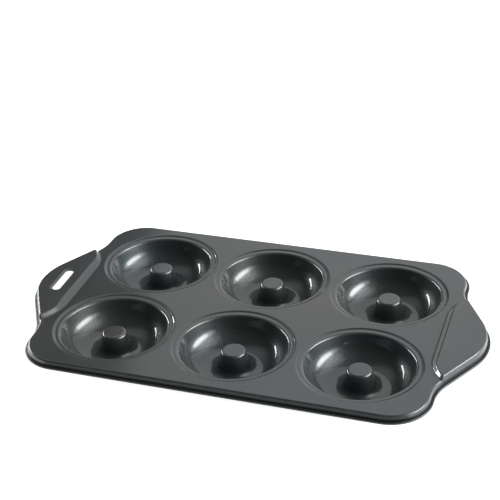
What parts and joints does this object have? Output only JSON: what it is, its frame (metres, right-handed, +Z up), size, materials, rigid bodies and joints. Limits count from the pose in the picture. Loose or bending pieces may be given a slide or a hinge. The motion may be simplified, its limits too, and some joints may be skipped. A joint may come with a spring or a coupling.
{
  "type": "doughnut pan",
  "caption": "Pressed steel baking pan with rows of ring-shaped cups, a raised handle at each end and a curled rim.",
  "frame": {"origin": "on the surface that the cups stand on, below the middle of the pan", "axes": "+X from the handle with the hanging slot to the other handle, +Y to the back edge, +Z up out of the cups"},
  "size_m": [0.3804, 0.2242, 0.0268],
  "materials": {
    "coated_steel": "dark grey non-stick coating, semi-gloss"
  },
  "bodies": {
    "root": {"doughnut_pan": "coated_steel"}
  },
  "joints": []
}
